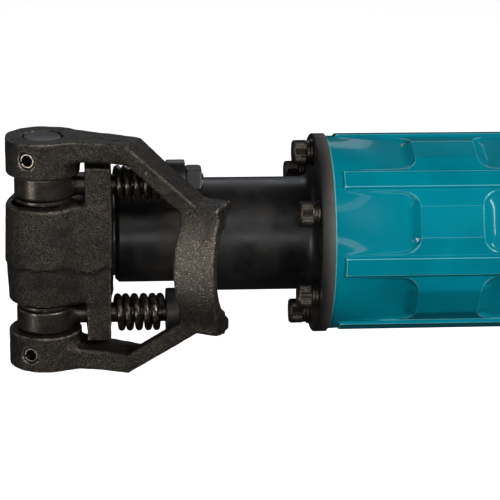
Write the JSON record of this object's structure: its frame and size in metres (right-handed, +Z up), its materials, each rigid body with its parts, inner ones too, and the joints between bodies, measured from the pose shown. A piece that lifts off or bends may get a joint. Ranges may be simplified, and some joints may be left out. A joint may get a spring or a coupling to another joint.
{
  "type": "pneumatic demolition hammer",
  "caption": "Heavy pneumatic hammer with a forged front head, sprung swing-over tool retainer, flanged barrel, ribbed painted housing and closed handle with throttle lever.",
  "frame": {"origin": "on the tool axis, at the middle of the tool's length, which is the centre of its box", "axes": "+X along the tool axis from the nose to the handle, +Z up with the tool lying on its side as stored, the retainer on the -Y side"},
  "size_m": [0.6414, 0.1758, 0.1496],
  "materials": {
    "paint": "glossy teal enamel",
    "forged": "dark phosphated forging, fine grained",
    "blacked": "black oxide, satin",
    "ground": "ground bright steel",
    "spring": "oiled spring steel",
    "bronze": "bearing bronze",
    "rubber": "matt moulded rubber",
    "zinc": "zinc plated"
  },
  "bodies": {
    "tool_body": {"backhead": "blacked", "backhead_screw_1": "zinc", "backhead_screw_2": "zinc", "backhead_screw_3": "zinc", "backhead_screw_4": "zinc", "buffer_spring_lower": "spring", "buffer_spring_upper": "spring", "cylinder_liner": "ground", "exhaust_deflector": "blacked", "flange_screw_1": "blacked", "flange_screw_2": "blacked", "flange_screw_3": "blacked", "flange_screw_4": "blacked", "flange_screw_5": "blacked", "flange_screw_6": "blacked", "flange_washer_1": "blacked", "flange_washer_2": "blacked", "flange_washer_3": "blacked", "flange_washer_4": "blacked", "flange_washer_5": "blacked", "flange_washer_6": "blacked", "front_head": "forged", "handle_frame": "forged", "handle_grip": "rubber", "hex_bushing": "bronze", "housing": "paint", "lever_pin": "ground", "nose_barrel": "blacked", "nose_sleeve": "blacked", "tappet_guide": "bronze", "throttle_plug": "zinc", "throttle_spring": "spring", "valve_chest": "ground", "valve_cover": "ground"},
    "carriage": {"eyebolt_upper": "forged", "eyebolt_lower": "forged", "eye_washer_upper": "blacked", "eye_washer_lower": "blacked", "spring_seat_upper": "blacked", "spring_seat_lower": "blacked", "lock_nut_upper": "blacked", "lock_nut_lower": "blacked"},
    "retainer": {"retainer_yoke": "forged", "pivot_shaft": "ground", "roll_pin_upper": "blacked", "roll_pin_lower": "blacked"},
    "piston": {"piston": "ground"},
    "tappet": {"tappet": "ground"},
    "valve_disc": {"valve_disc": "ground"},
    "throttle_lever": {"throttle_lever": "blacked"},
    "throttle_valve": {"throttle_valve": "bronze"},
    "inlet": {"inlet_swivel": "zinc", "inlet_strainer": "bronze"}
  },
  "joints": [
    {"name": "retainer_slide", "type": "slide", "parent": "tool_body", "child": "carriage", "axis": [-1, 0, 0], "range_m": [0, 0.0065], "stiffness_N_per_m": 40000, "springref_m": -0.004, "deforming": ["buffer_spring_upper", "buffer_spring_lower"]},
    {"name": "retainer_hinge", "type": "hinge", "parent": "carriage", "child": "retainer", "pos_m": [-0.29625, -0.0286, 0], "axis": [0, 0, 1], "range_deg": [-158, 1]},
    {"name": "piston_slide", "type": "slide", "parent": "tool_body", "child": "piston", "axis": [1, 0, 0], "range_m": [-0.049, 0.05]},
    {"name": "tappet_slide", "type": "slide", "parent": "tool_body", "child": "tappet", "axis": [1, 0, 0], "range_m": [-0.01, 0.0015]},
    {"name": "valve_disc_slide", "type": "slide", "parent": "tool_body", "child": "valve_disc", "axis": [1, 0, 0], "range_m": [-0.0022, 0.0055]},
    {"name": "throttle_lever_hinge", "type": "hinge", "parent": "tool_body", "child": "throttle_lever", "pos_m": [0.26475, 0, 0.053], "axis": [0, -1, 0], "range_deg": [0, 5], "stiffness_Nm_per_rad": 4, "springref_deg": -8.59},
    {"name": "throttle_valve_slide", "type": "slide", "parent": "tool_body", "child": "throttle_valve", "axis": [-1, 0, 0], "range_m": [0, 0.0009], "deforming": ["throttle_spring"]},
    {"name": "inlet_turn", "type": "hinge", "parent": "tool_body", "child": "inlet", "pos_m": [0.14475, 0, 0], "axis": [0, 1, 0], "continuous": true}
  ],
  "couplings": [
    {"joint": "throttle_valve_slide", "follows": "throttle_lever_hinge", "m_per_rad": 0.009}
  ]
}
